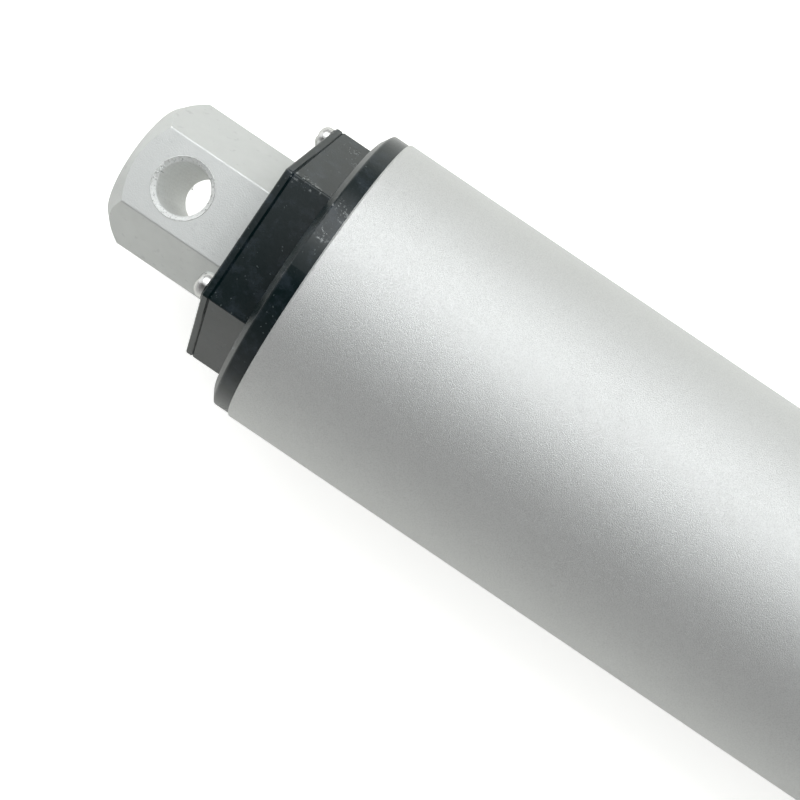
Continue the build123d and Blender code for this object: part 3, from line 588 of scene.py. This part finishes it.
# a mesh becomes a piece: it gets its finish and rides with its body; edges over `sharp` degrees
# are drawn hard
def addPiece(name, mesh, slot, body, sharp=35):
    mesh.set_sharp_from_angle(angle=math.radians(sharp))
    mesh.materials.clear()
    mesh.materials.append(materials[slot])
    piece = bpy.data.objects.new(name, mesh)
    bpy.context.scene.collection.objects.link(piece)
    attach(piece, body)
    return piece


# rings of points get a skin, and either run back into the first or are closed at both ends
def skinRings(bm, rings, loop=False):
    following = rings[1:] + rings[:1] if loop else rings[1:]
    for first, second in zip(rings, following):
        for step in range(len(first)):
            after = (step + 1) % len(first)
            bm.faces.new((first[step], first[after], second[after], second[step]))
    if not loop:
        bm.faces.new(list(reversed(rings[0])))
        bm.faces.new(rings[-1])


# what was built becomes a mesh, with its faces turned outwards
def takeMesh(bm, name, smooth=True):
    bmesh.ops.recalc_face_normals(bm, faces=bm.faces)
    for face in bm.faces:
        face.smooth = smooth
    mesh = bpy.data.meshes.new(name)
    bm.to_mesh(mesh)
    bm.free()
    return mesh


# rings round the X axis, joined into a solid; radiusAt(station, place, turn) gives each radius
def turnedMesh(name, stations, segments, radiusAt):
    bm = bmesh.new()
    rings = []
    for station, place in stations:
        ring = []
        for step in range(segments):
            turn = 2 * math.pi * step / segments
            radius = radiusAt(station, place, turn)
            point = (station, radius * math.cos(turn), radius * math.sin(turn))
            ring.append(bm.verts.new(point))
        rings.append(ring)
    skinRings(bm, rings)
    return takeMesh(bm, name)


# pan head screws of the caps: a domed head with a cross recess, over a threaded shank
panScrew = {
    "circle": 0.0185,
    "angles": (60, 180, 300),
    "head": 0.0020,  # radius
    "height": 0.0019,
    "dome": 0.00145,
    "domeSteps": 12,
    "fullness": 0.72,  # 1 is an ellipse, less is squarer
    "tip": 0.00002,  # radius of the flat at its top
    "edge": 0.0001,
    "shank": 0.00108,
    "root": 0.00082,
    "pitch": 0.0008,
    "ridge": 0.3,  # half a thread's width, as a share of the pitch
    "stepsPerPitch": 8,
    "threaded": 0.012,
    "runOut": 0.0002,  # from the thread to the plain shank
    "segments": 40,
    "armWidth": 0.00052,
    "armReach": 0.00145,
    "armDepth": 0.0011,
    "armTop": (1.12, 1.15),  # shares of its reach and width above the head
    "armFoot": (0.42, 0.8),  # and at the bottom
    "armOver": 0.0002,  # how far above the head
    "turns": (6, 79, 38),  # how far each recess is turned, in degrees
}


def screwProfile(length):
    head, height, dome = panScrew["head"], panScrew["height"], panScrew["dome"]
    shank, edge, threaded = panScrew["shank"], panScrew["edge"], panScrew["threaded"]
    steps = int(threaded / panScrew["pitch"] * panScrew["stepsPerPitch"])
    stations = []
    for step in range(steps + 1):
        stations.append((-length + threaded * step / steps, "thread"))
    stations += [(-length + threaded + panScrew["runOut"], shank), (0, shank)]
    stations += [(0, head - edge), (edge, head), (height - dome, head)]
    for step in range(1, panScrew["domeSteps"] + 1):
        lean = math.pi / 2 * step / panScrew["domeSteps"]
        radius = head * math.cos(lean) ** panScrew["fullness"] + panScrew["tip"]
        stations.append((height - dome + dome * math.sin(lean), radius))
    return stations


def screwRadius(station, place, turn):
    if place != "thread":
        return place
    phase = (station / panScrew["pitch"] - turn / (2 * math.pi)) % 1
    rise = max(0, 1 - abs(phase - 0.5) / panScrew["ridge"])
    return panScrew["root"] + (panScrew["shank"] - panScrew["root"]) * rise


# the tool that presses the recess: two tapered blades across each other
def recessMesh():
    bm = bmesh.new()
    reach, half = panScrew["armReach"], panScrew["armWidth"] / 2
    top = panScrew["height"] + panScrew["armOver"]
    foot = panScrew["height"] - panScrew["armDepth"]
    for across in (0, math.pi / 2):
        corners = []
        for station, (long, wide) in ((top, panScrew["armTop"]), (foot, panScrew["armFoot"])):
            for a, b in ((1, 1), (-1, 1), (-1, -1), (1, -1)):
                y, z = a * (reach * long), b * (half * wide)
                turnedY = y * math.cos(across) - z * math.sin(across)
                turnedZ = y * math.sin(across) + z * math.cos(across)
                corners.append(bm.verts.new((station, turnedY, turnedZ)))
        bm.faces.new(corners[:4])
        bm.faces.new(corners[:3:-1])
        for side in range(4):
            after = (side + 1) % 4
            bm.faces.new([corners[i] for i in (side, side + 4, after + 4, after)])
    return takeMesh(bm, "recess", smooth=False)


def cutMesh(mesh, cutter):
    scene = bpy.context.scene.collection.objects
    body = bpy.data.objects.new("cutBody", mesh)
    tool = bpy.data.objects.new("cutTool", cutter)
    scene.link(body)
    scene.link(tool)
    press = body.modifiers.new("press", "BOOLEAN")
    press.operation = "DIFFERENCE"
    press.solver = "EXACT"
    press.use_self = True
    press.object = tool
    bpy.context.view_layer.update()
    cut = body.evaluated_get(bpy.context.evaluated_depsgraph_get())
    result = bpy.data.meshes.new_from_object(cut)
    bpy.data.objects.remove(body)
    bpy.data.objects.remove(tool)
    return result


# out is 1 where the heads look along +X, and -1 where they look the other way
def makeScrews(node, out):
    low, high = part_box(node)
    length = high.x - low.x - panScrew["height"]
    face = high.x - panScrew["height"] if out > 0 else low.x + panScrew["height"]
    flip = Matrix.Rotation(0 if out > 0 else math.pi, 4, "Z")
    plain = turnedMesh(node + "Blank", screwProfile(length), panScrew["segments"], screwRadius)
    whole = bmesh.new()
    for angle, turn in zip(panScrew["angles"], panScrew["turns"]):
        pressed = cutMesh(plain, recessMesh())
        spin = Matrix.Rotation(math.radians(turn), 4, "X")
        y = panScrew["circle"] * math.cos(math.radians(angle))
        z = panScrew["circle"] * math.sin(math.radians(angle))
        pressed.transform(Matrix.Translation((face, y, z)) @ flip @ spin)
        whole.from_mesh(pressed)
    mesh = bpy.data.meshes.new(node + "Pan")
    whole.to_mesh(mesh)
    whole.free()
    screws = addPiece(node + "Pan", mesh, "screw_steel", bodyOf[node])
    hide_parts(node)


makeScrews("front_screws", 1)
makeScrews("rear_screws", -1)
print("pan head screws made")


# raised burr that the countersink left round the pin hole, curled up at one place
holeBurr = {
    "flat": 0.01125,  # from the axis to the bar's upper and lower flats
    "radius": 0.00468,
    "around": 240,
    "section": 6,
    "waves": ((7, 1.3), (19, 0), (43, 0.7)),  # waves round the hole, and where they start
    "fineWave": 0.6,  # how much the last of them counts
    "thick": 0.000036,
    "uneven": 0.7,  # share of the thickness that comes and goes with the waves
    "thinnest": 0.000012,
    "ripple": 0.000024,
    "curlAt": 354,  # degrees from +X
    "curlWidth": 9,
    "curl": 0.00092,
    "curlThick": 0.30,  # as a share of the curl
    "curlWave": (31, 1.4),
}


# side is 1 on the upper flat and -1 on the lower one
def makeBurr(name, station, side, body):
    bm = bmesh.new()
    height = side * holeBurr["flat"]
    curlCount, curlStart = holeBurr["curlWave"]
    rings = []
    for step in range(holeBurr["around"]):
        turn = 2 * math.pi * step / holeBurr["around"]
        slow, middle, fine = (math.sin(turn * count + start) for count, start in holeBurr["waves"])
        ripple = slow * middle + holeBurr["fineWave"] * fine
        gap = (math.degrees(turn) - holeBurr["curlAt"] + 180) % 360 - 180
        curl = holeBurr["curl"] * math.exp(-((gap / holeBurr["curlWidth"]) ** 2))
        curl *= abs(math.sin(turn * curlCount + curlStart))
        thick = holeBurr["thick"] * (1 + holeBurr["uneven"] * ripple) + curl * holeBurr["curlThick"]
        thick = max(thick, holeBurr["thinnest"])
        radius = holeBurr["radius"] + holeBurr["ripple"] * ripple - curl
        ring = []
        for part in range(holeBurr["section"]):
            lean = 2 * math.pi * part / holeBurr["section"]
            away = radius + thick * math.cos(lean)
            rise = height + side * thick * math.sin(lean)
            point = (station + away * math.cos(turn), away * math.sin(turn), rise)
            ring.append(bm.verts.new(point))
        rings.append(ring)
    skinRings(bm, rings, loop=True)
    addPiece(name, takeMesh(bm, name), "bar_alloy", body)


rearHole, rodHole = barFinish["holes"]
makeBurr("rodEyeBurrUpper", rodHole, 1, bodyOf["push_rod"])
makeBurr("rodEyeBurrLower", rodHole, -1, bodyOf["push_rod"])
makeBurr("rearEyeBurrUpper", rearHole, 1, bodyOf["rear_eye"])
makeBurr("rearEyeBurrLower", rearHole, -1, bodyOf["rear_eye"])
print("burrs left at the pin holes")


# lead screw with its trapezoidal thread, one turned bar from the hexagonal drive to the tip
leadScrew = {
    "lead": 0.005,  # what one turn moves the rod
    "starts": 2,
    "root": 0.0046,
    "crest": 0.0060,
    "threadBase": 0.34,  # half a thread's width at the root, as a share of the pitch
    "threadFlank": 0.16,  # and the width of a flank
    "driveApothem": 0.0030,
    "seat": 0.0042,
    "journal": 0.0050,
    "shoulder": 0.0068,
    "shoulderLength": 0.0024,
    "edge": 0.0003,
    "segments": 48,
    "stepsPerPitch": 16,
    "fade": 0.0009,  # the thread fades in and out over this length
    "sharp": 50,  # degrees from which an edge is drawn hard
}


def leadScrewStations():
    low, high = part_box("lead_screw")
    raceLow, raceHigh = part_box("inner_race")
    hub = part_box("output_carrier")[1].x
    seat, journal = leadScrew["seat"], leadScrew["journal"]
    shoulder, edge = leadScrew["shoulder"], leadScrew["edge"]
    shoulderEnd = raceHigh.x + leadScrew["shoulderLength"]
    stations = [
        (low.x, "drive"),
        (hub, "drive"),
        (hub, seat),
        (raceLow.x, seat),
        (raceLow.x, journal),
        (raceHigh.x, journal),
        (raceHigh.x, shoulder - edge),
        (raceHigh.x + edge, shoulder),
        (shoulderEnd - edge, shoulder),
        (shoulderEnd, shoulder - edge),
        (shoulderEnd, leadScrew["root"]),
    ]
    threaded = high.x - shoulderEnd
    pitch = leadScrew["lead"] / leadScrew["starts"]
    steps = round(threaded / pitch * leadScrew["stepsPerPitch"])
    for step in range(steps + 1):
        run = step / steps * threaded
        fade = min(1, run / leadScrew["fade"], (threaded - run) / leadScrew["fade"])
        stations.append((shoulderEnd + run, ("thread", fade)))
    return stations


def leadScrewRadius(station, place, turn):
    if place == "drive":
        return leadScrew["driveApothem"] / math.cos(turn % (math.pi / 3) - math.pi / 6)
    if not isinstance(place, tuple):
        return place
    phase = leadScrew["starts"] * (station / leadScrew["lead"] - turn / (2 * math.pi)) % 1
    flank = (leadScrew["threadBase"] - abs(phase - 0.5)) / leadScrew["threadFlank"]
    rise = min(1, max(0, flank))
    return leadScrew["root"] + (leadScrew["crest"] - leadScrew["root"]) * rise * place[1]


threadedMesh = turnedMesh(
    "threadedScrew", leadScrewStations(), leadScrew["segments"], leadScrewRadius
)
threadedScrew = addPiece("threadedScrew", threadedMesh, "gear_steel", "screw", leadScrew["sharp"])
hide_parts("lead_screw")
print("lead screw threaded")


# enamelled wire laid over the end turns: each coil leaves one slot and comes back three further on
winding = {
    "wire": 0.00036,  # radius
    "slots": 7,
    "span": 3,
    "layers": 8,
    "inner": 0.0076,
    "outer": 0.0131,
    "proud": 0.00015,
    "steps": 22,
    "sides": 7,
    "astray": 0.05,  # how far a coil may start off its slot, in radians
    "least": 0.10,  # height at which it leaves the core, as a share of the end turns'
    "fullness": 0.35,  # 1 is a sine, less climbs faster
    "lowFrom": 0.8,  # layers beyond this share of the way out climb less:
    "lowTo": 1.45,  # this, less their share
    "dip": 0.0009,  # how far the coils sink here and there
    "wander": 0.0004,  # and how far they sway inwards and outwards
}


def wirePath(end, coreFace, tip, slot, layer):
    share = layer / (winding["layers"] - 1)
    radius = winding["inner"] + (winding["outer"] - winding["inner"]) * share
    astray = winding["astray"] * math.sin(5 * layer + slot)
    start = 2 * math.pi * slot / winding["slots"] + astray
    sweep = 2 * math.pi * winding["span"] / winding["slots"]
    full = 1 if share < winding["lowFrom"] else winding["lowTo"] - share
    least = winding["least"]
    path = []
    for step in range(winding["steps"] + 1):
        along = step / winding["steps"]
        climb = math.sin(math.pi * along) ** winding["fullness"] * full
        lift = (tip - coreFace) * (least + (1 - least) * climb) + end * winding["proud"]
        wave = 0.5 + 0.5 * math.cos(3 * slot + 2 * layer + 4 * along)
        lift -= end * winding["dip"] * wave * climb
        turn = start + sweep * along
        reach = radius + winding["wander"] * math.sin(2 * math.pi * along + layer)
        path.append((coreFace + lift, reach * math.cos(turn), reach * math.sin(turn)))
    return path


def addWire(bm, path):
    askew = Vector((1, 0.2, 0.1))  # no wire runs along it
    points = [Vector(point) for point in path]
    rings = []
    for index, point in enumerate(points):
        ahead = points[min(index + 1, len(points) - 1)] - points[max(index - 1, 0)]
        side = ahead.cross(askew).normalized()
        up = side.cross(ahead).normalized()
        ring = []
        for part in range(winding["sides"]):
            lean = 2 * math.pi * part / winding["sides"]
            away = (side * math.cos(lean) + up * math.sin(lean)) * winding["wire"]
            ring.append(bm.verts.new(point + away))
        rings.append(ring)
    skinRings(bm, rings)


def windingMesh():
    low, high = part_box("rotor_windings")
    coreLow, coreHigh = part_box("rotor_core")
    bm = bmesh.new()
    for end, coreFace, tip in ((-1, coreLow.x, low.x), (1, coreHigh.x, high.x)):
        for slot in range(winding["slots"]):
            for layer in range(winding["layers"]):
                addWire(bm, wirePath(end, coreFace, tip, slot, layer))
    return takeMesh(bm, "endTurnWires")


addPiece("endTurnWires", windingMesh(), "copper", bodyOf["rotor_windings"])
print("end turns wound")
